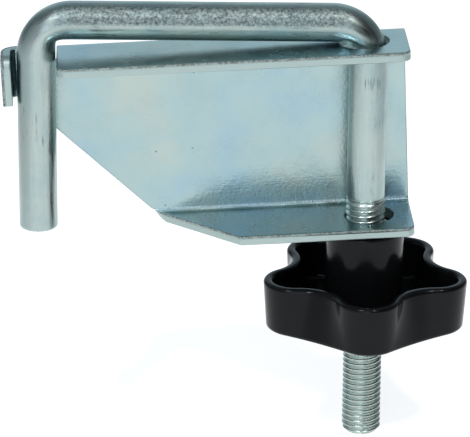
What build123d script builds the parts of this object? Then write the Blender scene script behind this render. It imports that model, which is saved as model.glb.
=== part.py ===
"""Hook-bolt clamp: a folded sheet bracket, a bent hook rod and a star knob with a threaded insert.

Millimetres, +Z up. The origin is on the back face of the bracket's web, straight behind the
rod holes and half way up. +X runs from the hook's free leg towards the knob, and the flanges
point to -Y. The rod passes through oversize holes, so it stands at a lean in them, and the
hook is swung back until its free leg almost touches the web.
"""
import os
from math import asin, atan, cos, radians, sin, sqrt

from build123d import *

os.makedirs("parts", exist_ok=True)

# Bracket: one folded sheet
sheet = 3.0
bend_inside = 1.5
bracket_height = 59.0
flange_depth = 27.0
hole_setback = 14.0  # hole centre in front of the web's back face
hole_clearance = 1.5  # radial, around the thread
right_margin = 13.0  # from the hole centre to the right-hand edge
tab_depth = 12.0
tab_height = 15.4
tab_top_drop = 0.7  # the tab ends this far below the top flange's upper face
lower_flange_front_length = 53.0
flange_corner = 3.0
tab_corner = 4.0

# Rod: M12 bar, bent cold into a hook
thread_diameter = 12.0
thread_rise = 0.15  # radial, how far the rolled thread stands out from the bar
leg_spacing = 100.0
bend_outside = 17.0  # radius of the elbow's outer side
bend_slack = 0.02  # lets the elbow's rounding run out into the straight bar
free_leg_reach = 1.6  # the free leg ends this far below the bracket
thread_reach = 8.0  # the thread starts this far above the bracket's lower face
tail_length = 37.9  # free thread beyond the knob
end_chamfer = 1.3
free_end_round = 0.8

# Knob: hollow five-lobe star with a tall hub
lobes = 5
points_per_lobe = 4
knob_diameter = 64.8  # across the lobes at the rim
base_draft = 1.1  # the lobes are this much nearer the axis at the base
star_share_top = 0.133  # depth of the star's wave, as a share of the knob's radius
star_share_base = 0.062
rim_depth = 15.9
hub_reach = 14.4  # the hub stands this far above the rim
hub_wall = 3.5
wall = 3.0
base_round = 1.2
front_lobe_angle = -88.0  # degrees, in the rod's own frame

# Threaded insert, moulded into the hub
insert_wall = 2.5
insert_groove = 1.0
insert_length = 26.0
insert_waist_length = 8.0

# Gaps between the pieces
rim_gap = 0.16  # the leaning rod to the rims of the two holes
web_gap = 0.265  # the swung-back free leg to the web
flange_end_gap = 1.65  # the free leg to the top flange's end
tab_gap = 0.65  # the free leg to the guide tab
run_gap = 0.16  # the run to the top flange
hub_gap = 0.125  # the hub to the lower flange
thread_clearance = 0.06  # radial, between the rod and the insert
tail_clearance = 0.5  # radial, between the rod and the knob's own bore

# Radii and places worked out from the sizes above
half_height = bracket_height / 2
bend_outer = bend_inside + sheet
thread_radius = thread_diameter / 2
rod_radius = thread_radius - thread_rise
hole_radius = thread_radius + hole_clearance
bend_centre_radius = bend_outside - rod_radius
right_edge = right_margin
top_flange_left = -(leg_spacing - rod_radius - flange_end_gap)
tab_outer = -(leg_spacing + rod_radius + tab_gap + sheet)
tab_top = half_height - tab_top_drop
tab_bottom = tab_top - tab_height
tab_bend_line = tab_outer + bend_outer
diagonal_foot = tab_bend_line + tab_bottom + half_height
lower_flange_front_left = right_edge - lower_flange_front_length
insert_radius = thread_radius + insert_wall
waist_radius = insert_radius - insert_groove
hub_radius = insert_radius + hub_wall
star_depth_top = star_share_top * knob_diameter / 2
star_depth_base = star_share_base * knob_diameter / 2
star_mean_top = knob_diameter / 2 - star_depth_top
star_mean_base = knob_diameter / 2 - base_draft - star_depth_base
lip_round = 0.43 * wall

# The rod leans until it almost touches the holes' rims, and is swung back until its free leg
# almost touches the web
lean = atan((hole_radius - thread_radius - rim_gap) / half_height)
swing = -asin((hole_setback - sheet - rod_radius - web_gap) / leg_spacing)

# Heights along the leaning rod, from the bracket's middle
run_height = (half_height + run_gap - hole_radius * sin(lean)) / cos(lean) + rod_radius
free_leg_end = -half_height - free_leg_reach
thread_start = -half_height + thread_reach
hub_top = -(half_height + hub_gap + hub_radius * sin(lean)) / cos(lean)
rim_top = hub_top - hub_reach
knob_base = rim_top - rim_depth
rod_end = knob_base - tail_length

# The rod's own frame: its Z runs up the threaded leg, its X points away from the free leg
rod_frame = Plane(
    origin=(0, -hole_setback, 0),
    x_dir=(cos(swing) * cos(lean), sin(swing), -cos(swing) * sin(lean)),
    z_dir=(sin(lean), 0, cos(lean)),
)
rod_axis = Axis(rod_frame.origin, rod_frame.z_dir)


def rod_side(x=0.0, z=0.0, outward=1):
    """Plane of the hook's bend, origin at (x, z) in the rod's frame, local Y up the rod."""
    return Plane(
        origin=rod_frame.from_local_coords((x, 0, z)),
        x_dir=rod_frame.x_dir * outward,
        z_dir=-rod_frame.y_dir * outward,
    )


def bend_section(x, z, outward):
    """Plane through a bend's centre, local X outward across the rod, local Y the bend's axis."""
    return Plane(
        origin=rod_frame.from_local_coords((x, 0, z)),
        x_dir=rod_frame.x_dir * outward,
        z_dir=rod_frame.z_dir * -outward,
    )


def star_points(height, inset=0.0):
    """Points of the star outline at a height, moved inwards at right angles by the inset."""
    share = (height - knob_base) / (rim_top - knob_base)
    mean = star_mean_base + share * (star_mean_top - star_mean_base)
    depth = star_depth_base + share * (star_depth_top - star_depth_base)
    count = points_per_lobe * lobes
    points = []
    for step in range(count):
        turn = 360.0 * step / count
        radius = mean + depth * cos(radians(lobes * turn))
        slope = -lobes * depth * sin(radians(lobes * turn))
        steepness = sqrt(radius**2 + slope**2)
        outward = radius - inset * radius / steepness
        sideways = inset * slope / steepness
        angle = radians(front_lobe_angle + turn)
        x = outward * cos(angle) - sideways * sin(angle)
        y = outward * sin(angle) + sideways * cos(angle)
        points.append((x, y))
    return points


def insert_outline():
    """Half outline of the insert's outside: two bands and a waist that locks it in the hub."""
    band = (insert_length - insert_waist_length) / 2
    bottom = hub_top - insert_length
    return [
        (0, hub_top),
        (insert_radius, hub_top),
        (insert_radius, hub_top - band),
        (waist_radius, hub_top - band),
        (waist_radius, bottom + band),
        (insert_radius, bottom + band),
        (insert_radius, bottom),
        (0, bottom),
    ]


def cut_corner(x, z, outward):
    """Round the outside of a mitred elbow about the bend centre (x, z); the inside stays sharp."""
    reach = 4 * rod_radius
    with BuildSketch(bend_section(x, z, outward)) as section:
        with Locations((bend_centre_radius, 0)):
            Rectangle(reach, reach, align=(Align.MIN, Align.CENTER))
            Circle(rod_radius + bend_slack, mode=Mode.SUBTRACT)
    turn_axis = Axis(rod_frame.from_local_coords((x, 0, z)), rod_frame.y_dir)
    revolve(section.sketch, axis=turn_axis, revolution_arc=-90 * outward, mode=Mode.SUBTRACT)


# ---------------------------------------------------------------- bracket
with BuildPart() as bracket:
    # Channel: the web at the back, a flange folded forward at the top and one at the bottom
    with BuildSketch(Plane.YZ.offset(top_flange_left)):
        with Locations((-flange_depth, 0)):
            RectangleRounded(2 * flange_depth, bracket_height, bend_outer)
            RectangleRounded(
                2 * (flange_depth - sheet),
                bracket_height - 2 * sheet,
                bend_inside,
                mode=Mode.SUBTRACT,
            )
            Rectangle(
                flange_depth,
                bracket_height,
                align=(Align.MAX, Align.CENTER),
                mode=Mode.SUBTRACT,
            )
    extrude(amount=right_edge - top_flange_left)

    # Guide tab: the web runs on past the top flange and folds forward at its far end
    strip_length = top_flange_left - tab_outer
    with BuildSketch(Plane.XY.offset(-half_height)):
        with Locations((top_flange_left, -tab_depth)):
            RectangleRounded(2 * strip_length, 2 * tab_depth, bend_outer)
            RectangleRounded(
                2 * (strip_length - sheet),
                2 * (tab_depth - sheet),
                bend_inside,
                mode=Mode.SUBTRACT,
            )
            Rectangle(
                2 * strip_length,
                tab_depth,
                align=(Align.CENTER, Align.MAX),
                mode=Mode.SUBTRACT,
            )
            Rectangle(
                strip_length,
                2 * tab_depth,
                align=(Align.MIN, Align.CENTER),
                mode=Mode.SUBTRACT,
            )
    extrude(amount=half_height + tab_top)

    # The sheet is cut at 45 degrees from the tab's lower end down to the lower flange
    with BuildSketch(Plane.XZ):
        with BuildLine():
            Polyline(
                (tab_outer - sheet, tab_bottom),
                (tab_bend_line, tab_bottom),
                (diagonal_foot, -half_height),
                (diagonal_foot, -half_height - sheet),
                (tab_outer - sheet, -half_height - sheet),
                close=True,
            )
        make_face()
    extrude(amount=2 * flange_depth, both=True, mode=Mode.SUBTRACT)

    # The lower flange's left end tapers towards its front edge
    with BuildSketch(Plane.XY.offset(-half_height)):
        with BuildLine():
            Polyline(
                (diagonal_foot, -bend_outer),
                (lower_flange_front_left, -flange_depth),
                (lower_flange_front_left, -flange_depth - sheet),
                (top_flange_left, -flange_depth - sheet),
                (top_flange_left, -bend_outer),
                close=True,
            )
        make_face()
    extrude(amount=2 * sheet, mode=Mode.SUBTRACT)

    # Rod holes, one in each flange
    with Locations(Plane.XY.offset(half_height)):
        with Locations((0, -hole_setback)):
            Hole(hole_radius)

    # Rounded corners of the blank
    front_corners = bracket.edges().filter_by(Axis.Z).group_by(Axis.Y)[0]
    fillet(front_corners.filter_by(lambda e: e.center().Z > 0 or e.center().X > 0), flange_corner)
    tab_edges = bracket.edges().filter_by(Axis.X).filter_by_position(
        Axis.Y, -tab_depth - 0.1, -tab_depth + 0.1
    )
    fillet(tab_edges.sort_by(Axis.Z)[-1], tab_corner)

bracket.part.label = "bracket"
export_step(bracket.part, "parts/bracket.step")

# ---------------------------------------------------------------- hook rod
with BuildPart() as hook_rod:
    # Free leg, run and threaded leg in one sweep with mitred corners
    with BuildLine(rod_side()) as centre_line:
        Polyline(
            (-leg_spacing, free_leg_end),
            (-leg_spacing, run_height),
            (0, run_height),
            (0, thread_start),
        )
    leg_foot = rod_frame.from_local_coords((-leg_spacing, 0, free_leg_end))
    with BuildSketch(Plane(origin=leg_foot, x_dir=rod_frame.x_dir, z_dir=rod_frame.z_dir)):
        Circle(rod_radius)
    sweep(path=centre_line.wire(), transition=Transition.RIGHT)

    # Each elbow is round outside and almost sharp inside, as a bar squashed by cold bending
    bend_height = run_height - bend_centre_radius
    cut_corner(-leg_spacing + bend_centre_radius, bend_height, -1)
    cut_corner(-bend_centre_radius, bend_height, 1)

    # Threaded end, drawn at the thread's outer diameter
    with BuildSketch(rod_frame.offset(thread_start)):
        Circle(thread_radius)
    extrude(amount=rod_end - thread_start)

    # Ends: the thread is chamfered, the sheared free end only broken
    end_faces = hook_rod.faces().filter_by(GeomType.PLANE).sort_by(Axis.Z)
    chamfer(end_faces[0].edges(), end_chamfer)
    free_end = hook_rod.faces().filter_by(GeomType.PLANE).sort_by(Axis.X)[0]
    fillet(free_end.edges(), free_end_round)

hook_rod.part.label = "hook_rod"
export_step(hook_rod.part, "parts/hook_rod.step")

# ---------------------------------------------------------------- knob body
with BuildPart() as knob_body:
    # Outside: a deep star at the rim that fades towards a rounder base
    with BuildSketch(rod_frame.offset(knob_base)):
        with BuildLine():
            Spline(*star_points(knob_base), periodic=True)
        make_face()
    with BuildSketch(rod_frame.offset(rim_top)):
        with BuildLine():
            Spline(*star_points(rim_top), periodic=True)
        make_face()
    loft()
    fillet(knob_body.faces().sort_by(Axis.Z)[0].edges(), base_round)

    # Cavity, open towards the bracket
    with BuildSketch(rod_frame.offset(knob_base + wall)):
        with BuildLine():
            Spline(*star_points(knob_base + wall, inset=wall), periodic=True)
        make_face()
    with BuildSketch(rod_frame.offset(rim_top + wall)):
        with BuildLine():
            Spline(*star_points(rim_top + wall, inset=wall), periodic=True)
        make_face()
    loft(mode=Mode.SUBTRACT)
    rim = knob_body.faces().filter_by(GeomType.PLANE).sort_by(Axis.Z)[-1]
    fillet(rim.edges(), lip_round)

    # Hub, with a pocket for the insert and a clearance bore for the rod's tail
    with BuildSketch(rod_frame.offset(knob_base)):
        Circle(hub_radius)
    extrude(amount=hub_top - knob_base)
    with BuildSketch(rod_side()):
        with BuildLine():
            Polyline(*insert_outline(), close=True)
        make_face()
    revolve(axis=rod_axis, mode=Mode.SUBTRACT)
    with BuildSketch(rod_frame.offset(knob_base)):
        Circle(thread_radius + tail_clearance)
    extrude(amount=hub_top - knob_base, mode=Mode.SUBTRACT)

knob_body.part.label = "knob_body"
export_step(knob_body.part, "parts/knob_body.step")

# ---------------------------------------------------------------- threaded insert
with BuildPart() as knob_insert:
    with BuildSketch(rod_side()):
        with BuildLine():
            Polyline(*insert_outline(), close=True)
        make_face()
    revolve(axis=rod_axis)

    # Thread, drawn as a plain bore that runs free on the rod
    with BuildSketch(rod_frame.offset(hub_top)):
        Circle(thread_radius + thread_clearance)
    extrude(amount=-insert_length, mode=Mode.SUBTRACT)

knob_insert.part.label = "knob_insert"
export_step(knob_insert.part, "parts/knob_insert.step")
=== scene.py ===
"""Looks of the hook-bolt clamp: a folded zinc-plated bracket, a bent hook rod and a star knob.

Every shape is written in millimetres in the part's own frame and turned to metres once, when
its mesh is made. The bracket and hook are drawn again with real sheet edges, a real elbow and
a real thread, and the knob again with full-round lips. The insert keeps its own mesh.
"""
import logging
from collections.abc import Callable
from dataclasses import dataclass
from enum import Enum
from functools import partial
from math import asin, atan, cos, pi, radians, sin
from typing import Any

import bmesh
import bpy
import numpy as np
from mathutils import Euler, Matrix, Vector
from mathutils.geometry import delaunay_2d_cdt


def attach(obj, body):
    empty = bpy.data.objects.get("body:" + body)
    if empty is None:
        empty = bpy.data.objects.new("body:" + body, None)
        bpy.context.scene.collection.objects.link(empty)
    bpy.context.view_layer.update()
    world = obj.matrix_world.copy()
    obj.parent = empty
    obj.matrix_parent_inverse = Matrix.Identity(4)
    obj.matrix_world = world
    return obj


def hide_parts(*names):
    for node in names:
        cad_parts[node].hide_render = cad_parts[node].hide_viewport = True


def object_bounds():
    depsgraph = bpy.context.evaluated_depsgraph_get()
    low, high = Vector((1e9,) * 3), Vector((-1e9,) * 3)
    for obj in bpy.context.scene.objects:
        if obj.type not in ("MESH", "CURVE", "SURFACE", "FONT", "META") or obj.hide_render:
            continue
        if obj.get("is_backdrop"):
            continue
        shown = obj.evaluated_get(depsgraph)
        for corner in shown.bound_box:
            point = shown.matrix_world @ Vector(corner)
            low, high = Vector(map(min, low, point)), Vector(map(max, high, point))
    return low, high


log = logging.getLogger("clamp")
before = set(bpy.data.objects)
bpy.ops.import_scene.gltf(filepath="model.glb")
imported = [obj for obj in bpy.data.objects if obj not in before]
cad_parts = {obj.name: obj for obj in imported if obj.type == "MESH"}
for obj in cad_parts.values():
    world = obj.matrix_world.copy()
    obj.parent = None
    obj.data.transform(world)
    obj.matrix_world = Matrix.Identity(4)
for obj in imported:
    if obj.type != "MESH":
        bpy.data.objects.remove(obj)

MM = 0.001
WELD = 1e-4  # mm: vertices nearer than this become one
Node = bpy.types.Node
Socket = bpy.types.NodeSocket
Piece = bpy.types.Object
Adder = Callable[..., Node]


# ---------------------------------------------------------------- helpers
def to_linear(hex_colour: str) -> tuple[float, float, float, float]:
    """Turns an sRGB hex colour into the linear colour a shader takes.

    Args:
        hex_colour: six hex digits after a #.

    Returns:
        Linear red, green, blue and an alpha of 1.
    """
    parts = [int(hex_colour[i : i + 2], 16) / 255 for i in (1, 3, 5)]
    linear = [c / 12.92 if c <= 0.04045 else ((c + 0.055) / 1.055) ** 2.4 for c in parts]
    return (linear[0], linear[1], linear[2], 1.0)


def add_node(
    tree: bpy.types.NodeTree,
    kind: str,
    inputs: dict[int | str, Any] | None = None,
    **settings: Any,
) -> Node:
    """Adds one node with its settings, and fills or links its inputs.

    Args:
        tree: the node tree it joins.
        kind: the node's type name, after the word ShaderNode.
        inputs: by input name or number, a plain value, a hex colour, another node's output, or
            another node, which stands for the first of its outputs that is in use.
        settings: the node's own properties.

    Returns:
        The new node.
    """
    node = tree.nodes.new("ShaderNode" + kind)
    for name, value in settings.items():
        setattr(node, name, value)
    for name, value in (inputs or {}).items():
        if isinstance(value, Node):
            value = next(output for output in value.outputs if output.enabled)
        if isinstance(value, Socket):
            tree.links.new(value, node.inputs[name])
        else:
            node.inputs[name].default_value = to_linear(value) if isinstance(value, str) else value
    return node


def lay_over(
    add: Adder,
    under: Node | str,
    over: str,
    pattern: Node,
    low: float,
    high: float,
    most: float,
    mask: Socket | None = None,
) -> Node:
    """Lays one colour over another where a pattern's value goes from low to high.

    Args:
        add: adds a node to the material.
        under: the colour below, a node or a hex colour.
        over: the colour laid over it.
        pattern: the node that gives the pattern's value.
        low: the value at which the upper colour starts.
        high: the value at which it is strongest.
        most: its share there.
        mask: a factor on its share, from 0 to 1.

    Returns:
        The node that gives the mixed colour.
    """
    share = add("MapRange", {"Value": pattern, "From Min": low, "From Max": high, "To Max": most})
    if mask is not None:
        share = add("Math", {0: share, 1: mask}, operation="MULTIPLY")
    return add("Mix", {0: share, 6: under, 7: over}, data_type="RGBA")


def smooth_step(x: np.ndarray, start: float, end: float) -> np.ndarray:
    """Rises smoothly from 0 at start to 1 at end: 3t^2 - 2t^3 of the clipped share t."""
    t = np.clip((x - start) / (end - start), 0.0, 1.0)
    return t * t * (3.0 - 2.0 * t)


def table(*columns: np.ndarray | float) -> np.ndarray:
    """Sets arrays side by side along a new last axis; a plain number fills its column."""
    return np.stack(np.broadcast_arrays(*columns), axis=-1)


def surface(
    name: str, points: np.ndarray, faces: list, uv: np.ndarray, marks: dict[str, np.ndarray]
) -> Piece:
    """Turns points and faces into one closed, smooth, outward-facing mesh object.

    Args:
        name: the piece's name.
        points: (n, 3) places in millimetres, in the part's frame.
        faces: vertex numbers of each face.
        uv: (corners, 2) place of each face corner on the unrolled surface, in millimetres.
        marks: point attributes by name, one number for each vertex.

    Returns:
        The linked object, at the origin.
    """
    mesh = bpy.data.meshes.new(name)
    mesh.from_pydata((points * MM).tolist(), [], faces)
    unrolled = (uv * MM).astype(np.float32).ravel()
    mesh.uv_layers.new(name="unrolled").data.foreach_set("uv", unrolled)
    for mark, values in marks.items():
        mesh.attributes.new(mark, "FLOAT", "POINT").data.foreach_set(
            "value", values.astype(np.float32).ravel()
        )
    work = bmesh.new()
    work.from_mesh(mesh)
    bmesh.ops.remove_doubles(work, verts=work.verts, dist=WELD * MM)
    bmesh.ops.recalc_face_normals(work, faces=work.faces)
    work.to_mesh(mesh)
    work.free()
    mesh.shade_smooth()
    piece = bpy.data.objects.new(name, mesh)
    bpy.context.scene.collection.objects.link(piece)
    return piece


def grid_surface(
    name: str, points: np.ndarray, uv: np.ndarray, marks: dict[str, np.ndarray]
) -> Piece:
    """Turns a grid of points into a mesh of one quad for each cell, its seams welded.

    Args:
        name: the piece's name.
        points: (rows, columns, 3) places in millimetres.
        uv: (rows, columns, 2) unrolled places in millimetres.
        marks: point attributes, each (rows, columns).

    Returns:
        The linked object.
    """
    rows, columns = points.shape[:2]
    number = np.arange(rows * columns).reshape(rows, columns)
    corners = table(number[:-1, :-1], number[:-1, 1:], number[1:, 1:], number[1:, :-1])
    corners = corners.reshape(-1, 4)
    corner_uv = uv.reshape(-1, 2)[corners.ravel()]
    return surface(name, points.reshape(-1, 3), corners.tolist(), corner_uv, marks)


# ---------------------------------------------------------------- finishes
class Grain(Enum):
    """A noise pattern: the size of one patch in millimetres, its detail and its roughness."""

    MOTTLE = (125.0, 4.0, 0.5)
    CLOUD = (26.0, 3.0, 0.55)
    SHADE = (14.0, 4.0, 0.6)
    PATCH = (11.0, 1.0, 0.5)
    STAIN = (9.0, 4.0, 0.6)
    GLOSS = (9.0, 5.0, 0.6)
    SPECK = (7.0, 0.0, 0.5)
    PITTING = (0.9, 2.0, 0.6)
    GRANULE = (0.9, 5.0, 0.75)
    MOULD = (0.8, 3.0, 0.5)
    FRACTURE = (0.7, 4.0, 0.7)

    @property
    def scale(self) -> float:
        """Noise scale that gives patches of this size on coordinates in metres."""
        return 1000.0 / self.value[0]

    def on(self, place: Node | Socket) -> dict[str, Any]:
        """Returns the noise's inputs on the given coordinates."""
        _, detail, roughness = self.value
        return {"Vector": place, "Scale": self.scale, "Detail": detail, "Roughness": roughness}


class Lines(Enum):
    """How many patches of a drawn-out pattern fit in a metre, along each of its axes."""

    ROLLING = (60.0, 1400.0, 1.0)  # 17 mm long and 0.7 mm wide
    STREAK = (90.0, 900.0, 1.0)  # 11 mm long and 1.1 mm wide
    DRAWING = (45.0, 1600.0, 1.0)  # 22 mm long and 0.6 mm wide
    TURNING = (60.0, 60.0, 3000.0)  # rings a third of a millimetre apart


@dataclass(frozen=True)
class Finish:
    """What a surface is made of. Each finish has a name and works out its shader's inputs."""

    name: str = "plain"
    roughness: float = 0.5

    def inputs(self, add: Adder, place: Socket) -> dict[str, Any]:
        """Builds the finish's patterns.

        Args:
            add: adds a node to the material.
            place: Object coordinates.

        Returns:
            The shader's inputs by name.
        """
        return {"Roughness": self.roughness}

    def material(self) -> bpy.types.Material:
        """Builds the material: one Principled shader, fed by the finish's patterns.

        Returns:
            The material.
        """
        material = bpy.data.materials.new(self.name)
        material.use_nodes = True
        material.node_tree.nodes.clear()
        add = partial(add_node, material.node_tree)
        shader = add("BsdfPrincipled", self.inputs(add, add("TexCoord").outputs["Object"]))
        add("OutputMaterial", {"Surface": shader})
        return material

    def uneven(self, add: Adder, pattern: Node, end: float, rise: float) -> Node:
        """Varies the roughness with a pattern: 0.05 below the mean where the pattern is 0.3.

        Args:
            add: adds a node to the material.
            pattern: the node that gives the pattern's value.
            end: the pattern's value at which the surface is roughest.
            rise: how far above the mean it is there.

        Returns:
            The node that gives the roughness.
        """
        low, high = self.roughness - 0.05, self.roughness + rise
        return add(
            "MapRange",
            {"Value": pattern, "From Min": 0.3, "From Max": end, "To Min": low, "To Max": high},
        )


@dataclass(frozen=True)
class PassivatedSheet(Finish):
    """Cold-rolled steel sheet, bright zinc plated and blue passivated after punching.

    The passivation film gives the eye a pale teal metal with soft lilac and warm clouds, a
    satin reflection broken up by fine pitting, and duller, rougher cut edges.
    """

    name: str = "zinc_blue_passivated_rolled_sheet"
    tint: str = "#A0B7B8"
    cool_cloud: str = "#96B2BE"
    warm_cloud: str = "#AEBAB3"
    cut_edge: str = "#A9BAB7"
    fracture_dark: str = "#605E55"
    roughness: float = 0.24
    edge_roughness: float = 0.42

    def inputs(self, add: Adder, place: Socket) -> dict[str, Any]:
        """Lays clouds of tint and specks, then the cut edge, roughness and relief.

        Args:
            add: adds a node to the material.
            place: Object coordinates.

        Returns:
            The shader's inputs by name.
        """
        unrolled = add("UVMap", uv_map="unrolled")
        edge = add("Attribute", attribute_name="cut_edge").outputs["Fac"]
        broken = add("Attribute", attribute_name="fracture").outputs["Fac"]

        # Clouds of the passivation film, warm and cool, over the tint
        cloud = add("TexNoise", Grain.CLOUD.on(place))
        base = lay_over(add, self.tint, self.warm_cloud, cloud, low=0.50, high=0.68, most=0.8)
        base = lay_over(add, base, self.cool_cloud, cloud, low=0.48, high=0.34, most=0.8)

        # Sparse dark specks, half a millimetre across
        dot = add("TexVoronoi", {"Vector": place, "Scale": Grain.SPECK.scale, "Randomness": 1.0})
        dot = add("MapRange", {"Value": dot, "From Min": 0.035, "From Max": 0.06, "To Min": 0.55})
        dusted = add("Mix", {0: 1.0, 6: base, 7: dot}, data_type="RGBA", blend_type="MULTIPLY")

        # Fracture marks along the cut edge: speckles that follow the sheet's outline
        torn = add("TexNoise", Grain.FRACTURE.on(unrolled))
        dark = self.fracture_dark
        cut = lay_over(add, self.cut_edge, dark, torn, low=0.43, high=0.58, most=0.85, mask=broken)
        colour = add("Mix", {0: edge, 6: dusted, 7: cut}, data_type="RGBA")

        # Roughness: satin, uneven with handling, coarser at the cut edge
        satin = self.uneven(add, add("TexNoise", Grain.STAIN.on(place)), end=0.7, rise=0.07)
        rough = add("Mix", {0: edge, 2: satin, 3: self.edge_roughness})

        # Relief: pitting drawn a little coarser than real so that it shows, faint lines along
        # the rolling direction, and the torn edge
        pitting = add("TexNoise", Grain.PITTING.on(place))
        stretched = add("Mapping", {"Vector": unrolled, "Scale": Lines.ROLLING.value})
        rolling = add(
            "TexNoise", {"Vector": stretched, "Scale": 1.0, "Detail": 2.0}, noise_dimensions="2D"
        )
        relief = add("Math", {0: rolling, 1: 0.25, 2: pitting}, operation="MULTIPLY_ADD")
        bump = add("Bump", {"Height": relief, "Strength": 0.35, "Distance": 0.00012})
        torn = add("Math", {0: torn, 1: broken}, operation="MULTIPLY")
        bump = add("Bump", {"Height": torn, "Strength": 0.8, "Distance": 0.0006, "Normal": bump})
        return {"Base Color": colour, "Roughness": rough, "Normal": bump, "Metallic": 1.0}


@dataclass(frozen=True)
class DrawnBar(Finish):
    """Cold-drawn steel bar, bent, threaded, then zinc plated.

    It gives the eye a warm light grey metal with draw lines along its length, a few dark
    handling streaks, and a granular skin on the run where the bar was stretched, its dark colour
    also painted dark reflection, strongest on the run's front upper side.
    """

    name: str = "zinc_plated_drawn_steel_bar"
    tint: str = "#AAB8B4"
    teal_shade: str = "#98AEAE"
    streak: str = "#4B4E48"
    # Colour of the run's grains, darkened as painted dark reflection on the run's front upper side
    grain_and_painted_reflection: str = "#485254"
    thread_tint: str = "#C3CFC9"
    roughness: float = 0.27
    run_roughness: float = 0.2  # added on the run

    def inputs(self, add: Adder, place: Socket) -> dict[str, Any]:
        """Lays shades, streaks and the granular run, then roughness and relief.

        Args:
            add: adds a node to the material.
            place: Object coordinates.

        Returns:
            The shader's inputs by name.
        """
        unrolled = add("UVMap", uv_map="unrolled")
        run = add("Attribute", attribute_name="run").outputs["Fac"]
        thread = add("Attribute", attribute_name="thread").outputs["Fac"]
        cloud = add("TexNoise", Grain.SHADE.on(place))
        colour = lay_over(add, self.tint, self.teal_shade, cloud, low=0.46, high=0.66, most=0.75)

        # Dark handling streaks, in few places
        long_way = add("Mapping", {"Vector": unrolled, "Scale": Lines.STREAK.value})
        streak = add(
            "TexNoise",
            {"Vector": long_way, "Scale": 1.0, "Detail": 5.0, "Roughness": 0.65},
            noise_dimensions="2D",
        )
        patch = add("TexNoise", Grain.PATCH.on(place))
        both = add("Math", {0: streak, 1: patch}, operation="MULTIPLY")
        colour = lay_over(add, colour, self.streak, both, low=0.37, high=0.45, most=0.6)

        # The run's granular skin, with grains of just under a millimetre, and its dark colour,
        # which is painted dark reflection and strongest in a band on the run's front upper side;
        # the thread is clean
        grains = add("TexNoise", Grain.GRANULE.on(place))
        dark = self.grain_and_painted_reflection
        colour = lay_over(add, colour, dark, grains, low=0.39, high=0.62, most=0.9, mask=run)
        colour = add("Mix", {0: thread, 6: colour, 7: self.thread_tint}, data_type="RGBA")
        rough = self.uneven(add, streak, end=0.75, rise=0.12)
        rough = add("Math", {0: run, 1: self.run_roughness, 2: rough}, operation="MULTIPLY_ADD")

        # Relief: draw lines, drawn coarser than real so that they show, and grains on the run
        fine_way = add("Mapping", {"Vector": unrolled, "Scale": Lines.DRAWING.value})
        lines = add(
            "TexNoise", {"Vector": fine_way, "Scale": 1.0, "Detail": 3.0}, noise_dimensions="2D"
        )
        smooth_bar = add("Math", {0: 1.0, 1: thread}, operation="SUBTRACT", use_clamp=True)
        lines = add("Math", {0: lines, 1: smooth_bar}, operation="MULTIPLY")
        bump = add("Bump", {"Height": lines, "Strength": 0.3, "Distance": 0.0001})
        grains = add("Math", {0: grains, 1: run}, operation="MULTIPLY")
        bump = add("Bump", {"Height": grains, "Strength": 0.42, "Distance": 0.0003, "Normal": bump})
        return {"Base Color": colour, "Roughness": rough, "Normal": bump, "Metallic": 1.0}


@dataclass(frozen=True)
class MouldedBlack(Finish):
    """Black polyamide, injection moulded in a polished tool.

    It gives the eye a near-black gloss with clear highlights on every rounded lip, and on a
    closer look the slight unevenness of a moulded skin.
    """

    name: str = "polyamide_black_moulded"
    colour: str = "#0B0C0D"
    worn: str = "#131415"
    roughness: float = 0.15
    gloss: float = 0.15
    ior: float = 1.5

    def inputs(self, add: Adder, place: Socket) -> dict[str, Any]:
        """Gives near-black colour, uneven gloss and a faint moulded skin.

        Args:
            add: adds a node to the material.
            place: Object coordinates.

        Returns:
            The shader's inputs by name.
        """
        cloud = add("TexNoise", Grain.GLOSS.on(place))
        skin = add("TexNoise", Grain.MOULD.on(place))
        return {
            "Base Color": add("Mix", {0: cloud, 6: self.colour, 7: self.worn}, data_type="RGBA"),
            "Roughness": self.uneven(add, cloud, end=0.7, rise=0.08),
            "Normal": add("Bump", {"Height": skin, "Strength": 0.12, "Distance": 0.0001}),
            "IOR": self.ior,
            "Specular IOR Level": self.gloss,
        }


@dataclass(frozen=True)
class TurnedSteel(Finish):
    """Free-cutting steel, turned on a lathe: bright grey with fine rings round its axis."""

    name: str = "steel_turned"
    tint: str = "#BFC3BF"
    ring: str = "#8F948F"
    roughness: float = 0.32

    def inputs(self, add: Adder, place: Socket) -> dict[str, Any]:
        """Gives tool rings, in colour and relief.

        Args:
            add: adds a node to the material.
            place: Object coordinates.

        Returns:
            The shader's inputs by name.
        """
        around = add("Mapping", {"Vector": place, "Scale": Lines.TURNING.value})
        rings = add("TexNoise", {"Vector": around, "Scale": 1.0, "Detail": 3.0})
        return {
            "Base Color": add("Mix", {0: rings, 6: self.tint, 7: self.ring}, data_type="RGBA"),
            "Roughness": self.roughness,
            "Normal": add("Bump", {"Height": rings, "Strength": 0.3, "Distance": 0.0001}),
            "Metallic": 1.0,
        }


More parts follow.
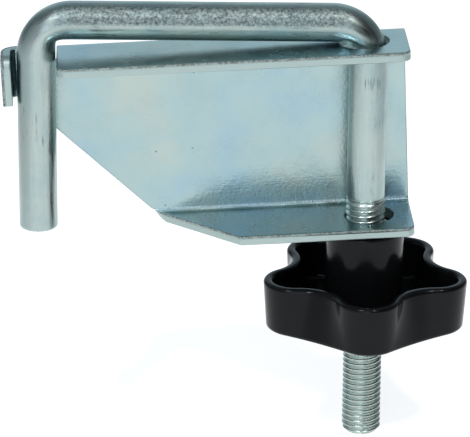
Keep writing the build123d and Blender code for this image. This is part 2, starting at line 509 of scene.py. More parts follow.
@dataclass(frozen=True)
class LightTable(Finish):
    """Opal acrylic light table: a matt white ground, lit from below along its middle."""

    name: str = "acrylic_opal_matt"
    colour: str = "#E4E4E4"
    mottle: str = "#DEDEDF"
    light: str = "#FFFFFF"
    roughness: float = 0.95
    gloss: float = 0.1
    glow: float = 0.76
    side_glow: float = 0.3
    middle: float = -0.05  # metres along X
    half_width: float = 0.20  # metres to where the light starts to fade
    fade: float = 0.16

    def inputs(self, add: Adder, place: Socket) -> dict[str, Any]:
        """Gives near-white mottled by a soft noise, and a glow that fades aside.

        Args:
            add: adds a node to the material.
            place: Object coordinates.

        Returns:
            The shader's inputs by name.
        """
        cloud = add("TexNoise", Grain.MOTTLE.on(place))
        across = add("SeparateXYZ", {0: place}).outputs["X"]
        aside = add("Math", {0: across, 1: -self.middle}, operation="ADD")
        aside = add("Math", {0: aside}, operation="ABSOLUTE")
        start, end = self.half_width, self.half_width + self.fade
        span = {"From Min": start, "From Max": end, "To Min": self.glow, "To Max": self.side_glow}
        glow = add("MapRange", {"Value": aside, **span}, interpolation_type="SMOOTHSTEP")
        return {
            "Base Color": add("Mix", {0: cloud, 6: self.colour, 7: self.mottle}, data_type="RGBA"),
            "Emission Strength": glow,
            "Emission Color": self.light,
            "Roughness": self.roughness,
            "Specular IOR Level": self.gloss,
        }


# ---------------------------------------------------------------- the rod's frame
@dataclass(frozen=True)
class RodFrame:
    """The leaning rod's own axes. Local Z runs up the threaded leg, X away from the free leg.

    The lean and swing follow from the gaps: the rod leans until it nears the holes' rims, and
    turns back until its free leg nears the web.
    """

    setback: float = 14.0
    half_height: float = 29.5
    hole_radius: float = 7.5
    thread_radius: float = 6.0
    rod_radius: float = 5.85
    leg_spacing: float = 100.0
    sheet: float = 3.0
    rim_gap: float = 0.16
    web_gap: float = 0.265

    @property
    def lean(self) -> float:
        """Angle about +Y, in radians."""
        return atan((self.hole_radius - self.thread_radius - self.rim_gap) / self.half_height)

    @property
    def swing(self) -> float:
        """Angle about the rod, in radians."""
        reach = self.setback - self.sheet - self.rod_radius - self.web_gap
        return -asin(reach / self.leg_spacing)

    def place(self, local: np.ndarray) -> np.ndarray:
        """Turns local places into the part's frame: the origin plus x, y, z along the axes.

        Args:
            local: (..., 3) places in millimetres.

        Returns:
            (..., 3) places.
        """
        a, s = self.lean, self.swing
        along_x = np.array([cos(s) * cos(a), sin(s), -cos(s) * sin(a)])
        along_z = np.array([sin(a), 0.0, cos(a)])
        axes = np.stack([along_x, np.cross(along_z, along_x), along_z])
        return np.array([0.0, -self.setback, 0.0]) + local @ axes


# ---------------------------------------------------------------- bracket
@dataclass
class Bracket:
    """One punched blank, folded: web, two flanges forward, and a guide tab at the left end.

    The blank is drawn flat, with u along the bracket and v up it, on the sheet's middle plane,
    and then folded. n runs through the thickness, from the inside to the back.
    """

    sheet: float = 3.0
    fold_radius: float = 3.0  # to the middle of the sheet
    fold_line: float = 25.0  # where the web ends and each fold starts
    flange_end: float = 52.212
    right_edge: float = 13.0
    top_flange_left: float = -92.5
    relief_width: float = 0.7
    relief_bottom: float = 24.2
    tab_top: float = 28.8
    tab_bottom: float = 13.4
    tab_fold_line: float = -105.0
    tab_end: float = -117.212
    diagonal_foot: float = -62.1
    taper_end: float = -40.0
    front_corner: float = 3.0
    tab_corner: float = 4.0
    hole_height: float = 39.212
    hole_radius: float = 7.5
    hole_sides: int = 72
    edge_round: float = 0.38
    flat_rim: float = 0.12  # strip beside each edge that keeps the faces flat
    step: float = 3.0  # between the lattice's points
    clear: float = 0.5  # from the lattice to the outlines
    fold_steps: int = 10
    arc_steps: int = 8
    finish: PassivatedSheet = PassivatedSheet()

    @property
    def fold_length(self) -> float:
        """Length of one fold along the sheet's middle."""
        return self.fold_radius * pi / 2

    @property
    def fold_rows(self) -> np.ndarray:
        """Heights v on the blank that need a row of vertices, because the sheet bends there."""
        up = self.fold_line + self.fold_length * np.linspace(0.0, 1.0, self.fold_steps + 1)
        return np.concatenate([-up[::-1], up])

    @property
    def fold_columns(self) -> np.ndarray:
        """Places u on the blank that need a column of vertices, at the tab's fold."""
        steps = np.linspace(1.0, 0.0, self.fold_steps + 1)
        return self.tab_fold_line - self.fold_length * steps

    def fold(self, flat: np.ndarray, depth: np.ndarray) -> np.ndarray:
        """Folds places on the blank into the part's frame.

        Along a fold a place keeps its distance from the fold's axis: the angle is the length
        past the fold line over the radius, up to a right angle, and the rest runs straight on.

        Args:
            flat: (n, 2) places u, v on the blank.
            depth: (n,) distance from the middle plane, positive towards the back.

        Returns:
            (n, 3) places in the part's frame.
        """
        u, v = flat.T
        reach = self.fold_radius + depth
        in_tab = u < self.top_flange_left - self.relief_width / 2
        past_v = np.where(in_tab, 0.0, np.maximum(np.abs(v) - self.fold_line, 0.0))
        past_u = np.maximum(self.tab_fold_line - u, 0.0)
        past = past_u + past_v
        angle = np.minimum(past / self.fold_radius, pi / 2)
        straight = np.maximum(past - self.fold_length, 0.0)
        x = np.where(past_u > 0.0, self.tab_fold_line - reach * np.sin(angle), u)
        y = reach * np.cos(angle) - self.sheet / 2 - self.fold_radius - straight
        z = np.where(past_v > 0.0, np.sign(v) * (self.fold_line + reach * np.sin(angle)), v)
        return table(x, y, z)

    def rounded(self, corners: list[tuple[float, float, float]]) -> np.ndarray:
        """Draws a closed outline with rounded corners, and splits it wherever the sheet bends.

        Args:
            corners: u, v and radius of each corner, anticlockwise.

        Returns:
            (n, 2) outline points.
        """
        line: list[np.ndarray] = []
        for i, (u, v, radius) in enumerate(corners):
            here = np.array([u, v])
            before = np.array(corners[i - 1][:2]) - here
            after = np.array(corners[(i + 1) % len(corners)][:2]) - here
            before, after = before / np.linalg.norm(before), after / np.linalg.norm(after)
            half = np.arccos(np.clip(before @ after, -1, 1)) / 2
            if radius <= 0.0:
                line.append(here)
                continue
            middle = (before + after) / np.linalg.norm(before + after)
            centre = here + middle * radius / sin(half)
            first = here + before * radius / np.tan(half) - centre
            last = here + after * radius / np.tan(half) - centre
            sweep = pi - 2 * half
            for t in np.linspace(0.0, 1.0, self.arc_steps + 1):
                arc = (first * sin((1 - t) * sweep) + last * sin(t * sweep)) / sin(sweep)
                line.append(centre + arc)
        points: list[np.ndarray] = []
        for a, b in zip(line, line[1:] + line[:1]):
            length = float(np.linalg.norm(b - a))
            if length < 1e-6:
                continue
            pieces = max(1, round(length / self.step))
            cuts = [np.arange(pieces) / pieces]
            for axis, places in ((1, self.fold_rows), (0, self.fold_columns)):
                if abs(b[axis] - a[axis]) > 1e-9:
                    cuts.append((places - a[axis]) / (b[axis] - a[axis]))
            shares = np.unique(np.round(np.concatenate(cuts), 6))
            shares = shares[(shares >= 0.0) & (shares < 1.0 - 1e-6)]
            gaps = np.diff(np.append(shares, 1.0)) * length
            points.extend(a + (b - a) * t for t, gap in zip(shares, gaps) if gap > 0.02)
        return np.array(points)

    def outlines(self) -> list[np.ndarray]:
        """Draws the blank's cut lines.

        Returns:
            The outline, anticlockwise, then the two holes, clockwise; each (n, 2).
        """
        slit = self.top_flange_left - self.relief_width
        diagonal_top = self.tab_fold_line + self.tab_bottom + self.fold_line
        outer = self.rounded(
            [
                (self.right_edge, -self.flange_end, self.front_corner),
                (self.right_edge, self.flange_end, self.front_corner),
                (self.top_flange_left, self.flange_end, self.front_corner),
                (self.top_flange_left, self.relief_bottom, 0.0),
                (slit, self.relief_bottom, 0.0),
                (slit, self.tab_top, 0.0),
                (self.tab_end, self.tab_top, self.tab_corner),
                (self.tab_end, self.tab_bottom, 0.6),
                (self.tab_fold_line, self.tab_bottom, 0.0),
                (diagonal_top, -self.fold_line, 0.0),
                (self.diagonal_foot, -self.fold_line - self.fold_length, 1.5),
                (self.taper_end, -self.flange_end, 1.2),
            ]
        )
        turn = -np.linspace(0.0, 2 * pi, self.hole_sides + 1)[:-1]
        ring = self.hole_radius * table(np.cos(turn), np.sin(turn))
        return [outer] + [ring + np.array([0.0, side * self.hole_height]) for side in (1, -1)]

    @staticmethod
    def inward(loop: np.ndarray) -> np.ndarray:
        """Finds each point's step into the material: the mitre of its sides' left normals.

        Args:
            loop: (n, 2) points of a closed outline.

        Returns:
            (n, 2) steps.
        """
        ahead = np.roll(loop, -1, axis=0) - loop
        ahead /= np.linalg.norm(ahead, axis=1, keepdims=True)
        left = table(-ahead[:, 1], ahead[:, 0])
        mean = left + np.roll(left, 1, axis=0)
        mean /= np.linalg.norm(mean, axis=1, keepdims=True)
        return mean / np.maximum(np.sum(mean * left, axis=1, keepdims=True), 0.5)

    @staticmethod
    def inside(points: np.ndarray, loop: np.ndarray) -> np.ndarray:
        """Tells which points lie in a closed outline, by counting its crossings to the right.

        Args:
            points: (m, 2) places.
            loop: (n, 2) points of the outline.

        Returns:
            (m,) true where a point is inside.
        """
        a, b = loop, np.roll(loop, -1, axis=0)
        v = points[:, 1][:, None]
        crosses = (a[:, 1] > v) != (b[:, 1] > v)
        rise = np.where(np.abs(b[:, 1] - a[:, 1]) < 1e-12, 1e-12, b[:, 1] - a[:, 1])
        at = a[:, 0] + (v - a[:, 1]) * (b[:, 0] - a[:, 0]) / rise
        return np.sum(crosses & (points[:, 0][:, None] < at), axis=1) % 2 == 1

    @staticmethod
    def distance(points: np.ndarray, loop: np.ndarray) -> np.ndarray:
        """Measures each point's distance to a closed outline, the least over its sides.

        Args:
            points: (m, 2) places.
            loop: (n, 2) points of the outline.

        Returns:
            (m,) distances.
        """
        side = np.roll(loop, -1, axis=0) - loop
        offset = points[:, None, :] - loop
        share = np.clip(np.sum(offset * side, axis=2) / np.sum(side * side, axis=1), 0.0, 1.0)
        return np.linalg.norm(offset - share[..., None] * side, axis=2).min(axis=1)

    def edge_profile(self) -> tuple[np.ndarray, np.ndarray]:
        """Draws the cut edge: a quarter circle at the back, a straight wall, and another.

        Returns:
            Distance in from the outline, and depth n, from the back to the inside.
        """
        r, half = self.edge_round, self.sheet / 2
        turn = np.linspace(0.0, pi / 2, 5)
        back_in = r - r * np.sin(turn)
        back_n = half - r + r * np.cos(turn)
        wall = np.array([0.9, 0.5, -0.5, -0.9])
        rim = [r + self.flat_rim]
        distance = np.concatenate([rim, back_in, 0 * wall, back_in[::-1], rim])
        depth = np.concatenate([[half], back_n, wall, -back_n[::-1], [-half]])
        return distance, depth

    def lattice(self, rims: list[np.ndarray]) -> np.ndarray:
        """Spreads points over the blank, at every bend, inside and clear of its outlines.

        Args:
            rims: the outer outline and then the holes.

        Returns:
            (n, 2) places.
        """
        web_u = np.arange(-103.5, self.right_edge, self.step)
        web_v = np.arange(-24, 25, self.step)
        flange_v = np.arange(32, 52, self.step)
        u = np.concatenate([web_u, self.fold_columns, [-112.0, -114.5]])
        v = np.concatenate([web_v, self.fold_rows, flange_v, -flange_v])
        grid = np.stack(np.meshgrid(u, v), axis=-1).reshape(-1, 2)
        keep = self.within(grid, rims)
        for rim in rims:
            keep &= self.distance(grid, rim) > self.clear
        return grid[keep]

    def within(self, points: np.ndarray, rims: list[np.ndarray]) -> np.ndarray:
        """Tells which points lie in the first outline and in none of the others.

        Args:
            points: (m, 2) places.
            rims: the outlines.

        Returns:
            (m,) true where a point is on the blank.
        """
        keep = self.inside(points, rims[0])
        for rim in rims[1:]:
            keep &= ~self.inside(points, rim)
        return keep

    def shape(self) -> Piece:
        """Builds the folded sheet.

        The cut edge's profile is carried round each outline. Between the outlines each face is
        filled with Delaunay triangles over a regular lattice, the holes left open.

        Returns:
            The sheet's object.
        """
        distance, depth = self.edge_profile()
        rows = len(distance)
        flat, levels, faces, uv, rims, back_rim, front_rim = [], [], [], [], [], [], []
        start = 0
        for loop in self.outlines():
            count = len(loop)
            ring = loop + self.inward(loop) * distance[:, None, None]
            number = start + np.arange(rows * count).reshape(rows, count)
            start += rows * count
            flat.append(ring.reshape(-1, 2))
            levels.append(np.repeat(depth, count))
            after = np.roll(number, -1, axis=1)
            quads = table(number[:-1], after[:-1], after[1:], number[1:])
            faces.extend(quads.reshape(-1, 4).tolist())
            run = np.append(0.0, np.cumsum(np.linalg.norm(np.diff(loop, axis=0), axis=1)))
            end = np.append(run[1:], run[-1] + np.linalg.norm(loop[0] - loop[-1]))
            near, far = np.tile(run, rows - 1), np.tile(end, rows - 1)
            top, low = np.repeat(depth[:-1], count), np.repeat(depth[1:], count)
            corners = table(table(near, far, far, near), table(top, top, low, low))
            uv.append(corners.reshape(-1, 2))
            back_rim.append(number[0])
            front_rim.append(number[-1])
            rims.append(ring[0])

        grid = self.lattice(rims)
        known = np.concatenate(rims + [grid])
        sides: list[tuple[int, int]] = []
        for rim in rims:
            first, count = len(sides), len(rim)
            sides += [(first + i, first + (i + 1) % count) for i in range(count)]
        result = delaunay_2d_cdt([Vector(p) for p in known.tolist()], sides, [], 0, 1e-5)
        source = np.array([original[0] for original in result[3]])
        triangles = source[np.array(result[2])]
        triangles = triangles[self.within(known[triangles].mean(axis=1), rims)]
        for rim_numbers, level in ((back_rim, self.sheet / 2), (front_rim, -self.sheet / 2)):
            numbers = np.concatenate(rim_numbers + [start + np.arange(len(grid))])
            start += len(grid)
            faces.extend(numbers[triangles].tolist())
            uv.append(known[triangles].reshape(-1, 2))
            flat.append(grid)
            levels.append(np.full(len(grid), level))

        # The cut edge is what lies between the faces; it is torn towards its outer face
        blank, level = np.concatenate(flat), np.concatenate(levels)
        edge = (np.abs(level) < self.sheet / 2 - 0.05).astype(float)
        torn = edge * smooth_step(level * np.sign(blank[:, 1]), 0.5, 1.0)
        marks = {"cut_edge": edge, "fracture": torn}
        return surface("bracket_sheet", self.fold(blank, level), faces, np.concatenate(uv), marks)

    def build(self) -> Piece:
        """Builds, dresses and mounts the sheet.

        Returns:
            The bracket's object.
        """
        piece = self.shape()
        piece.data.materials.append(self.finish.material())
        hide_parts("bracket")
        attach(piece, "bracket")
        return piece


# ---------------------------------------------------------------- hook rod
@dataclass
class HookRod:
    """One bar: a free leg, an elbow, the run, an elbow, and a leg that ends in a thread.

    All places are in the rod's own frame, where the hook lies in the local XZ plane.
    """

    axes: RodFrame = RodFrame()
    run_height: float = 35.2
    free_leg_end: float = -31.1
    elbow_outside: float = 17.0
    elbow_swell: float = 0.06  # how much wider than the bar the elbow is, sideways
    crease_power: float = 11.0  # how sharp the inside of the elbow is
    bead_height: float = 0.3
    bead_width: float = 10.0  # degrees
    free_end_round: float = 0.8
    pitch: float = 1.75
    thread_depth: float = 1.02
    thread_top: float = -19.4
    rod_end: float = -98.4
    end_chamfer: float = 1.3
    around: int = 160
    leg_rows: int = 24
    elbow_rows: int = 49
    run_rows: int = 42
    long_leg_rows: int = 20
    finish: DrawnBar = DrawnBar()

    def stations(self) -> np.ndarray:
        """Lists the bar's cross-sections from the free end to the top of the thread.

        Each is an ellipse: its centre x and z, the angle of its outward side, its half width
        in the hook's plane, its half width sideways, the length along the bar, and how much it
        belongs to the run. In an elbow the outside is a circle about the bend's centre, and the
        inside is the mitre of the two straight insides, its corner softened by a power mean and
        raised by a small bead.

        Returns:
            (n, 7) table.
        """
        r, spacing, power = self.axes.rod_radius, self.axes.leg_spacing, self.crease_power
        centre = self.elbow_outside - r
        top = self.run_height - centre
        turn = np.radians(np.linspace(0.0, 90.0, self.elbow_rows))
        fold = (np.cos(turn) ** power + np.sin(turn) ** power) ** (1 / power)
        bead = self.bead_height * np.exp(-(((np.degrees(turn) - 45) / self.bead_width) ** 2))
        inside = (centre - r) / fold - bead
        middle = (self.elbow_outside + inside) / 2
        half = (self.elbow_outside - inside) / 2
        side = r * (1 + self.elbow_swell * np.sin(2 * turn) ** 2)
        bend = turn * centre

        # Free leg: closed end, broken edge, straight bar
        broken = np.linspace(0.0, pi / 2, 6)
        edge_half = r - self.free_end_round * (1 - np.sin(broken))
        edge_z = self.free_end_round * (1 - np.cos(broken))
        leg_z = np.linspace(self.free_leg_end + 1.2, top, self.leg_rows)[:-1]
        z = np.concatenate([np.append([0.0, 0.0], edge_z) + self.free_leg_end, leg_z])
        end_half = np.append([0.0, r - self.free_end_round - 0.1], edge_half)
        leg_half = np.append(end_half, np.full(len(leg_z), r))
        parts = [table(-spacing, z, pi, leg_half, leg_half, z - z[0], 0.0)]

        # First elbow, about its bend centre, then the run and the second elbow
        left_x = centre - spacing
        along = top - self.free_leg_end
        out_x, out_z = left_x - middle * np.cos(turn), top + middle * np.sin(turn)
        # How much of the run's grain and painted dark reflection each section of the elbow gets
        grain_and_painted_reflection = smooth_step(turn, 0.8, 1.57)
        parts.append(table(out_x, out_z, pi - turn, half, side, along + bend, grain_and_painted_reflection))
        along += bend[-1]
        x = np.linspace(left_x, -centre, self.run_rows)[1:-1]
        parts.append(table(x, self.run_height, pi / 2, r, r, along + x - left_x, 1.0))
        along += spacing - 2 * centre
        out_x, out_z = middle * np.sin(turn) - centre, top + middle * np.cos(turn)
        grain_and_painted_reflection = 1 - smooth_step(turn, 0.0, 0.8)
        parts.append(table(out_x, out_z, pi / 2 - turn, half, side, along + bend, grain_and_painted_reflection))
        along += bend[-1]
        z = np.linspace(top, self.thread_top, self.long_leg_rows)[1:-1]
        parts.append(table(0.0, z, 0.0, r, r, along + top - z, 0.0))
        return np.concatenate(parts)

    def bar(self, angle: np.ndarray) -> tuple[np.ndarray, np.ndarray, np.ndarray]:
        """Carries the ellipse along the stations.

        Args:
            angle: (columns,) angle of each column round the bar.

        Returns:
            Local places (rows, columns, 3), unrolled places, and the run's share: how granular
            the skin is and how much painted dark reflection it gets, both strongest in a band on
            its front upper side.
        """
        x, z, out, half, side, length, run = (c[:, None] for c in self.stations().T)
        reach = half * np.cos(angle)
        local = table(x + reach * np.cos(out), side * np.sin(angle), z + reach * np.sin(out))
        from_top = np.abs(angle)
        uv = table(length, from_top * self.axes.rod_radius)
        # The band on the run's front upper side gets the most of the dark granular colour, which is
        # painted dark reflection
        band = smooth_step(from_top, 0.35, 0.6) * (1 - smooth_step(from_top, 1.4, 1.6))
        return local, uv, run * (0.15 + 0.85 * band)

    def thread(self, angle: np.ndarray, length: float) -> tuple[np.ndarray, np.ndarray, np.ndarray]:
        """Builds the threaded end, with rows that follow the right-hand helix.

        A row sinks by one pitch in one clockwise turn, so each row's end meets the row one
        pitch further down at the seam. The first and last turns are wedges whose rows fan out
        from a level ring, and a level stretch above takes up the spare length. The radius is
        the crest's less the depth of a groove, which falls and rises in a smooth step from
        crest to root, and fades in over the first turn and a half. A cone breaks the end, and
        a flat disc closes it.

        Args:
            angle: (columns,) angle of each column, running clockwise from 0 to -2 pi.
            length: how far along the bar the thread starts.

        Returns:
            Local places (rows, columns, 3), unrolled places, and the thread's share.
        """
        phase = np.array([0.0, 0.08, 0.2, 0.36, 0.45, 0.55, 0.64, 0.8, 0.92])
        groove = smooth_step(1 - np.abs(2 * phase - 1), 0.08, 0.92)
        turns, spare = divmod(self.thread_top - self.rod_end, self.pitch)
        turns, per = int(turns), len(phase)
        share = -angle / (2 * pi)
        top = self.thread_top - spare
        offset = self.pitch * (np.arange(turns)[:, None] + phase).ravel()[:, None]
        first = np.full((1, len(angle)), self.thread_top)
        end = np.full((1, len(angle)), self.rod_end)
        fan_in = top - offset[:per] * share
        main = top - offset[:-per] - self.pitch * share
        fan_out = top - offset[-per:] - self.pitch * (1 - phase[:, None]) * share
        z = np.concatenate([first, fan_in, main, fan_out, end])
        depth = np.concatenate([[0.0], np.tile(groove, turns + 1), [0.0]])[:, None]

        crest, bar = self.axes.thread_radius, self.axes.rod_radius
        fade = smooth_step(top - z, 0.0, 1.6 * self.pitch)
        radius = bar + fade * (crest - bar) - fade * depth * self.thread_depth
        radius = np.minimum(radius, crest - self.end_chamfer + (z - self.rod_end))
        z = np.concatenate([z, end])
        radius = np.concatenate([radius, np.zeros((1, len(angle)))])
        local = table(radius * np.cos(angle), radius * np.sin(angle), z)
        uv = table(length + self.thread_top - z, np.abs(angle) * crest)
        return local, uv, smooth_step(self.thread_top - z, 0.0, 2.0)

    def build(self) -> Piece:
        """Builds, dresses and mounts the hook.

        Returns:
            The hook rod's object.
        """
        angle = -np.linspace(0.0, 2 * pi, self.around + 1)
        bar, bar_uv, run = self.bar(angle)
        length = float(bar_uv[-1, 0, 0] + bar[-1, 0, 2] - self.thread_top)
        thread, thread_uv, cut = self.thread(angle, length)
        marks = {
            "run": np.concatenate([run, np.zeros(cut.shape)]),
            "thread": np.concatenate([np.zeros(run.shape), cut]),
        }
        local, uv = np.concatenate([bar, thread]), np.concatenate([bar_uv, thread_uv])
        piece = grid_surface("hook_bar", self.axes.place(local), uv, marks)
        piece.data.materials.append(self.finish.material())
        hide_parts("hook_rod")
        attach(piece, "hook")
        return piece


# ---------------------------------------------------------------- star knob
@dataclass
class StarKnob:
    """Moulded five-lobe knob: a thin star wall round a tall hub, open towards the bracket."""

    axes: RodFrame = RodFrame()
    lobes: int = 5
    front_lobe: float = -88.0  # degrees
    hub_radius: float = 12.0
    hub_top: float = -30.2
    rim_top: float = -44.6
    base: float = -60.5
    wall: float = 3.0
    knob_radius: float = 32.4
    base_draft: float = 1.1
    lobe_round: float = 9.8
    valley_top: float = 23.5
    valley_base: float = 26.6
    lip_round: float = 1.29
    base_round: float = 1.2
    hub_edge: float = 0.9
    inner_fillet: float = 1.6
    insert_radius: float = 8.5
    insert_waist: float = 7.5
    insert_length: float = 26.0
    waist_length: float = 8.0
    bore_radius: float = 6.5
    bore_edge: float = 0.5
    strip: float = 0.1  # between a round and the flat beside it, so that each shades true
    around: int = 300
    finish: MouldedBlack = MouldedBlack()

    def star(self, angle: np.ndarray, height: np.ndarray, inset: np.ndarray) -> np.ndarray:
        """Returns places on the star outline, moved in at right angles to it.

        Each lobe is an arc of one radius, and the hollow between two lobes is an arc that
        touches both. The lobes' tips and the hollows' floors run straight from base to rim.

        Args:
            angle: (1, columns) angle from the front lobe.
            height: (rows, 1) height along the rod.
            inset: (rows, 1) distance in from the outline.

        Returns:
            (rows, columns, 2) local x and y.
        """
        share = (height - self.base) / (self.rim_top - self.base)
        tip = self.knob_radius - self.base_draft * (1 - share)
        valley = self.valley_base + share * (self.valley_top - self.valley_base)
        half_step, lobe = pi / self.lobes, self.lobe_round
        centre = tip - lobe
        aside, ahead = centre * sin(half_step), centre * cos(half_step)
        hollow = (aside**2 + (valley - ahead) ** 2 - lobe**2) / (2 * (lobe - valley + ahead))
        far = valley + hollow
        far_x, far_y = far * cos(half_step), far * sin(half_step)
        reach = lobe / np.hypot(far_x - centre, far_y)
        touch = np.arctan2(far_y * reach, centre + (far_x - centre) * reach)

        # Each angle is folded onto half a lobe, and unfolded again at the end
        turn = (angle + half_step) % (2 * half_step) - half_step
        part = np.abs(turn)
        left = half_step - part
        on_lobe = part < touch
        lobe_way = np.sqrt(np.maximum(lobe**2 - (centre * np.sin(part)) ** 2, 0.0))
        hollow_way = np.sqrt(np.maximum(hollow**2 - (far * np.sin(left)) ** 2, 0.0))
        radius = np.where(
            on_lobe, centre * np.cos(part) + lobe_way, far * np.cos(left) - hollow_way
        )
        x, y = radius * np.cos(part), radius * np.sin(part)
        out_x = np.where(on_lobe, (x - centre) / lobe, (far_x - x) / hollow)
        out_y = np.where(on_lobe, y / lobe, (far_y - y) / hollow)
        x = x - inset * out_x
        y = (y - inset * out_y) * np.sign(turn)
        back = angle - turn + radians(self.front_lobe)
        return table(x * np.cos(back) - y * np.sin(back), x * np.sin(back) + y * np.cos(back))

    def profile(self) -> np.ndarray:
        """Lists the knob's section, from the hub's bore over the lip to the base and back up.

        Returns:
            (n, 4) table: height, share of the star outline, inset from it, and plain radius.
        """
        quarter = np.linspace(0.0, pi / 2, 7)
        rise, fall = 1 - np.cos(quarter), 1 - np.sin(quarter)
        edge, hub, top, strip = self.hub_edge, self.hub_radius, self.hub_top, self.strip
        fillet, lip, low = self.inner_fillet, self.lip_round, self.base_round
        rim, base, wall = self.rim_top, self.base, self.wall
        bore, bore_edge = self.bore_radius, self.bore_edge
        floor, corner = base + wall, fillet + strip
        pocket, band = top - self.insert_length, (self.insert_length - self.waist_length) / 2
        wide, waist = self.insert_radius, self.insert_waist
        low_band, high_band = pocket + band, top - band
        steps = np.array([pocket, pocket, low_band, low_band, high_band, high_band, top])
        return np.concatenate(
            [
                # Hub top and its rounded edge
                table(top, 0, 0, np.array([wide, hub - edge - strip])),
                table(top - edge * rise, 0, 0, hub - edge * fall),
                # Down the hub, and its fillet into the cavity's floor
                table(np.linspace(top - 2, floor + corner, 12), 0, 0, hub),
                table(floor + fillet * fall, 0, 0, hub + fillet * rise),
                # Across the floor: the outline turns from a circle into the inset star
                table(floor, np.linspace(0, 1, 9), wall + corner, hub + corner),
                # Fillet, and up the cavity's wall
                table(floor + fillet * rise, 1, wall + fillet * fall, 0),
                table(np.linspace(floor + corner, rim - lip - strip, 8), 1, wall, 0),
                # Over the lip
                table(rim - lip * fall, 1, wall - lip * rise, 0),
                table(rim - lip * rise, 1, lip * fall, 0),
                # Down the outside, round the base, and across the underside to the bore
                table(np.linspace(rim - lip - strip, base + low + strip, 10), 1, 0, 0),
                table(base + low * fall, 1, low * rise, 0),
                table(base, np.linspace(1, 0, 8), low + strip, bore + bore_edge),
                table(base + bore_edge * (1 - fall), 0, 0, bore + bore_edge * fall)[1:],
                # Up the bore and the pocket that the insert fills
                table(steps, 0, 0, np.array([bore, wide, wide, waist, waist, wide, wide])),
            ]
        )

    def build(self) -> Piece:
        """Builds, dresses and mounts the knob: its section carried round the rod's axis.

        Returns:
            The knob body's object.
        """
        angle = np.linspace(0.0, 2 * pi, self.around + 1)[None]
        height, share, inset, radius = (c[:, None] for c in self.profile().T)
        turn = angle + radians(self.front_lobe)
        circle = radius[..., None] * table(np.cos(turn), np.sin(turn))
        flat = circle + share[..., None] * (self.star(angle, height, inset) - circle)
        local = table(flat[..., 0], flat[..., 1], height)
        steps = np.linalg.norm(np.diff(local[:, 0], axis=0), axis=1)
        uv = table(angle * self.knob_radius, np.cumsum(np.append(0.0, steps))[:, None])
        piece = grid_surface("knob_star", self.axes.place(local), uv, {})
        piece.data.materials.append(self.finish.material())
        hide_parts("knob_body")
        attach(piece, "knob")
        return piece


@dataclass
class Insert:
    """The threaded steel insert moulded into the hub; it keeps its own mesh."""

    finish: TurnedSteel = TurnedSteel()

    def build(self) -> Piece:
        """Dresses the insert.

        Returns:
            The insert's own object.
        """
        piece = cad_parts["knob_insert"]
        piece.data.materials.clear()
        piece.data.materials.append(self.finish.material())
        return piece


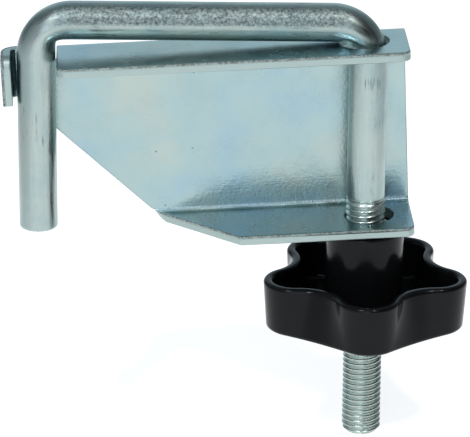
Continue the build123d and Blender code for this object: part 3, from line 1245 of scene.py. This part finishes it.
# ---------------------------------------------------------------- studio
@dataclass
class Studio:
    """Floor, camera, soft lights and surroundings."""

    floor_gap: float = 0.3
    floor_half: float = 9.0  # metres
    camera_place: tuple[float, float, float] = (-63.9, -968.6, 349.2)
    yaw: float = -1.37
    pitch: float = -21.43
    roll: float = 2.43
    lens: float = 257.0
    spot_azimuth: float = 32.0  # degrees to either side of the front
    spot_elevation: float = 55.0
    spot_away: float = 1.3  # metres
    spot_size: float = 0.10  # metres
    spot_power: float = 3.4  # watts
    spot_aim: tuple[float, float, float] = (-40.0, 0.0, -20.0)
    # How bright the surroundings are: in front, behind, overhead, and as a share at the sides
    front_left: float = 2.0
    front_right: float = 0.02
    back: float = 0.84
    top: float = 0.32
    side_share: float = 0.25
    front_colour: str = "#EAF2FF"
    back_colour: str = "#DDF4FF"
    # Where one turns into the next, by the direction's own x, y or z
    left_to_right: tuple[float, float] = (0.015, 0.06)
    front_to_back: tuple[float, float] = (-0.3, 0.5)
    middle_to_side: tuple[float, float] = (0.2, 0.7)
    wall_to_ceiling: tuple[float, float] = (0.5, 0.85)

    def floor(self) -> None:
        """Lays the large light table just under the rod's tip."""
        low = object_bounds()[0].z - self.floor_gap * MM
        half = self.floor_half
        mesh = bpy.data.meshes.new("floor")
        corners = [(-half, -half, low), (half, -half, low), (half, half, low), (-half, half, low)]
        mesh.from_pydata(corners, [], [(0, 1, 2, 3)])
        floor = bpy.data.objects.new("floor", mesh)
        bpy.context.scene.collection.objects.link(floor)
        mesh.materials.append(LightTable().material())
        floor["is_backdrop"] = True

    def camera(self) -> None:
        """Sets the camera in front, above, and a little to the left."""
        data = bpy.data.cameras.new("camera")
        data.lens, data.sensor_width, data.sensor_fit = self.lens, 36.0, "HORIZONTAL"
        data.clip_end = 30.0
        camera = bpy.data.objects.new("camera", data)
        turns = (
            (0, 0, radians(self.yaw)),
            (radians(self.pitch), 0, 0),
            (0, radians(self.roll), 0),
            (radians(90), 0, 0),
        )
        yaw, pitch, roll, level = (Euler(turn).to_matrix() for turn in turns)
        camera.matrix_world = (yaw @ pitch @ roll @ level).to_4x4()
        camera.location = Vector(self.camera_place) * MM
        bpy.context.scene.collection.objects.link(camera)
        bpy.context.scene.camera = camera

    def light(self, name: str, azimuth: float) -> None:
        """Adds a square soft light that faces the clamp.

        Args:
            name: the light's name.
            azimuth: degrees round from the front, positive to the right.
        """
        data = bpy.data.lights.new(name, "AREA")
        data.shape, data.size, data.energy = "SQUARE", self.spot_size, self.spot_power
        light = bpy.data.objects.new(name, data)
        a, e = radians(azimuth), radians(self.spot_elevation)
        place = Vector((sin(a) * cos(e), -cos(a) * cos(e), sin(e))) * self.spot_away
        light.location = place + Vector(self.spot_aim) * MM
        light.rotation_euler = (-place).to_track_quat("-Z", "Y").to_euler()
        bpy.context.scene.collection.objects.link(light)

    def world(self) -> None:
        """Surrounds the scene with a soft gradient.

        In front it is bright on the left and dark on the right, behind it is even, overhead it
        is a dim ceiling, and both sides are dark, so that round bars get their dark edges.
        """
        world = bpy.data.worlds.new("surround")
        bpy.context.scene.world = world
        world.use_nodes = True
        world.node_tree.nodes.clear()
        add = partial(add_node, world.node_tree)
        way = add("SeparateXYZ", {0: add("TexCoord").outputs["Generated"]}).outputs
        aside = add("Math", {0: way["X"]}, operation="ABSOLUTE")
        across, behind, above, sides = (
            add(
                "MapRange",
                {"Value": value, "From Min": low, "From Max": high, "To Min": a, "To Max": b},
                interpolation_type="SMOOTHSTEP",
            )
            for value, (low, high), a, b in (
                (way["X"], self.left_to_right, self.front_left, self.front_right),
                (way["Y"], self.front_to_back, 0.0, 1.0),
                (way["Z"], self.wall_to_ceiling, 0.0, 1.0),
                (aside, self.middle_to_side, 1.0, self.side_share),
            )
        )
        level = add("Mix", {0: behind, 2: across, 3: self.back})
        level = add("Mix", {0: above, 2: level, 3: self.top})
        level = add("Math", {0: level, 1: sides}, operation="MULTIPLY")
        front, back = self.front_colour, self.back_colour
        colour = add("Mix", {0: behind, 6: front, 7: back}, data_type="RGBA")
        sky = add("Background", {"Color": colour, "Strength": level})
        add("OutputWorld", {"Surface": sky})

    def build(self) -> None:
        """Sets the floor, camera, lights and surroundings."""
        self.floor()
        self.camera()
        self.world()
        self.light("spot_left", -self.spot_azimuth)
        self.light("spot_right", self.spot_azimuth)
        bpy.context.scene.view_settings.view_transform = "Standard"


def main() -> None:
    """Builds each sub-assembly in order, then the studio."""
    logging.basicConfig(level=logging.INFO, format="%(name)s: %(message)s")
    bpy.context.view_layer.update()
    for maker in (Bracket(), HookRod(), StarKnob(), Insert()):
        piece = maker.build()
        log.info("%s: %d faces", piece.name, len(piece.data.polygons))
    Studio().build()
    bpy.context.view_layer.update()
    log.info("studio set")


if __name__ == "__main__":
    main()
